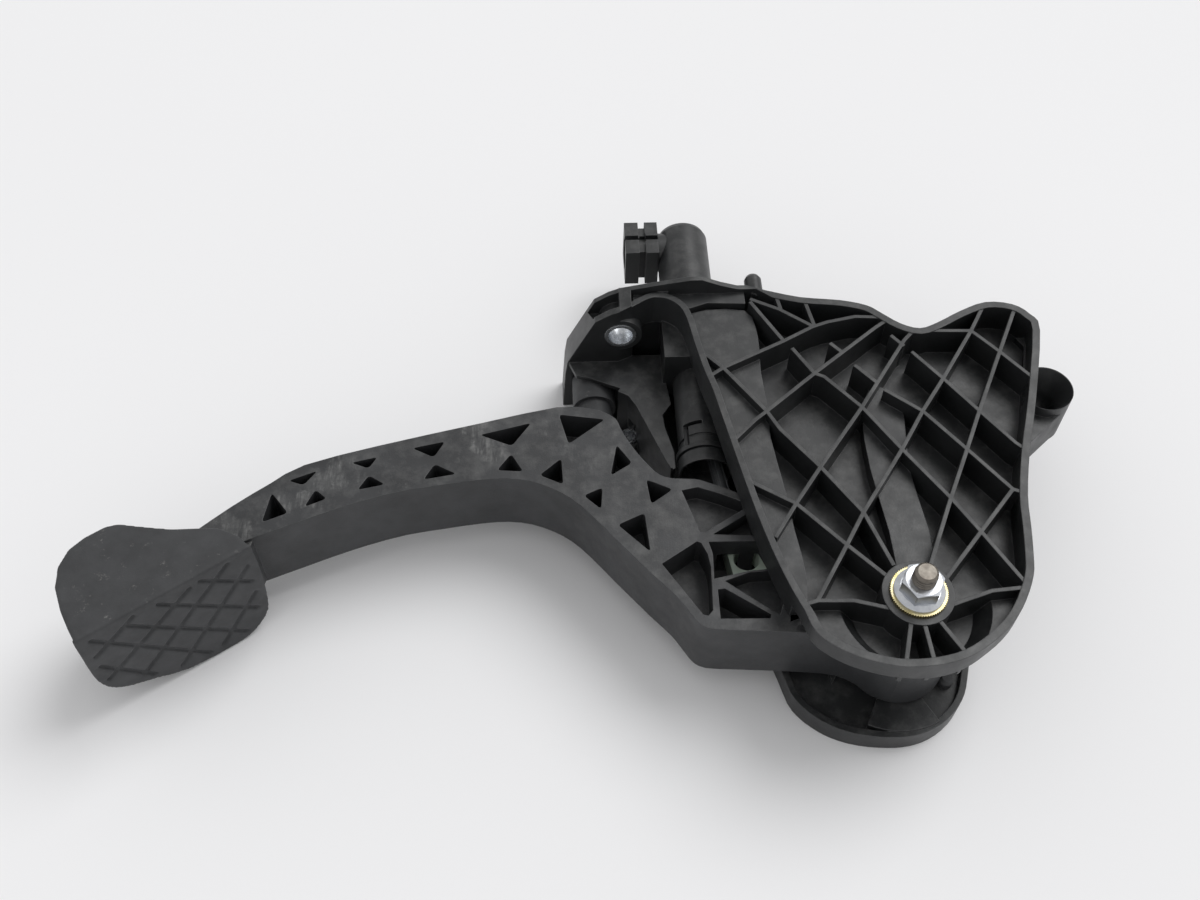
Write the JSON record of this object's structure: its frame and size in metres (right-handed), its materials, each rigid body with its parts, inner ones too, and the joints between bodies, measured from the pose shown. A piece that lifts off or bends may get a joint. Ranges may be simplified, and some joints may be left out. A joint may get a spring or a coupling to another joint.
{
  "type": "clutch pedal",
  "caption": "Clutch pedal assembly: ribbed moulded bracket, swinging pedal arm with treaded pad, and a master cylinder through its firewall flange.",
  "frame": {"origin": "axis of the upper fixing sleeve, on the firewall face of the bracket's flange", "axes": "+Y out of the firewall face, +Z along the pivot axis towards its nut, +X from the pad towards the pivot"},
  "size_m": [0.466, 0.2895, 0.0922],
  "materials": {
    "black_plastic": "satin moulded",
    "arm_plastic": "satin moulded, scuffed",
    "grey_plastic": "satin",
    "green_plastic": "satin",
    "pale_plastic": "satin",
    "rubber": "matte",
    "steel": "bright",
    "dull_steel": "dull",
    "zinc": "satin zinc",
    "yellow_zinc": "yellow zinc",
    "spring_steel": "satin"
  },
  "bodies": {
    "bracket": {"bracket": "black_plastic", "firewall_sleeve": "steel", "foot_sleeve": "steel", "pivot_bolt": "dull_steel", "pivot_nut": "zinc", "lock_washer": "yellow_zinc", "spacer_tube": "steel", "stop_buffer": "rubber", "hub_buffer": "rubber", "cylinder_body": "black_plastic", "stop_collar": "black_plastic", "cylinder_head": "black_plastic", "outlet_clip": "black_plastic", "outlet_seal": "rubber", "feed_nipple": "black_plastic", "return_spring": "spring_steel"},
    "pedal": {"pedal_arm": "arm_plastic", "pad": "rubber", "hub_bush_top": "green_plastic", "hub_bush_low": "green_plastic"},
    "piston": {"piston": "grey_plastic", "piston_seal": "rubber"},
    "pushrod": {"pushrod": "grey_plastic", "pushrod_clip": "pale_plastic"},
    "over_unit": {"over_seat": "grey_plastic", "over_guide": "grey_plastic", "over_spring": "spring_steel"}
  },
  "joints": [
    {"name": "pedal_pivot", "type": "hinge", "parent": "bracket", "child": "pedal", "pos_m": [0.1183, -0.178, -0.0203], "axis": [0, 0, 1], "range_deg": [0, 27]},
    {"name": "piston_slide", "type": "slide", "parent": "bracket", "child": "piston", "axis": [0, 1, 0], "range_m": [-0.0335, 0.0005], "deforming": ["return_spring"]},
    {"name": "pushrod_swing", "type": "hinge", "parent": "piston", "child": "pushrod", "pos_m": [0.0383, -0.04705, -0.0203], "axis": [0, 0, 1], "range_deg": [-8, 1]},
    {"name": "over_swing", "type": "hinge", "parent": "bracket", "child": "over_unit", "pos_m": [0.1233, -0.063, -0.0203], "axis": [0, 0, 1], "range_deg": [-10, 1]}
  ],
  "couplings": [
    {"joint": "piston_slide", "follows": "pedal_pivot", "m_per_rad": -0.06927},
    {"joint": "pushrod_swing", "follows": "pedal_pivot", "ratio": -0.26},
    {"joint": "over_swing", "follows": "pedal_pivot", "ratio": -0.34}
  ]
}
